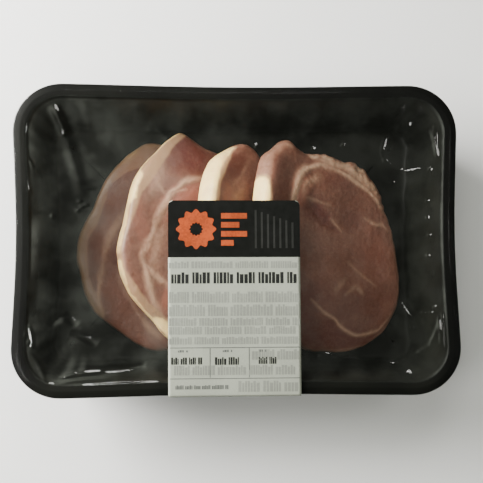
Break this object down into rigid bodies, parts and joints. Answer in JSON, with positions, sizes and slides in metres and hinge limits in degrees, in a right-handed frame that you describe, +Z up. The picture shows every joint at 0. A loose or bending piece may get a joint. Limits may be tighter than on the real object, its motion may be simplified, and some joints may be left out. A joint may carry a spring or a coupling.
{
  "type": "meat tray pack",
  "caption": "Black fluted food tray under clear film, holding raw pork loin chops laid in an overlapping row, with a paper label turned down over the front rim.",
  "frame": {"origin": "centre of the tray's footprint, on the surface it stands on", "axes": "+X along the tray's length to the right, +Y to its back edge, +Z up"},
  "size_m": [0.2338, 0.1636, 0.0492],
  "materials": {
    "tray": "satin black",
    "film": "clear, glossy",
    "label": "coated paper",
    "meat": "moist raw meat with ivory fat"
  },
  "bodies": {
    "root": {"tray": "tray", "chop_1": "meat", "chop_2": "meat", "chop_3": "meat", "chop_4": "meat", "film": "film", "label": "label"}
  },
  "joints": []
}
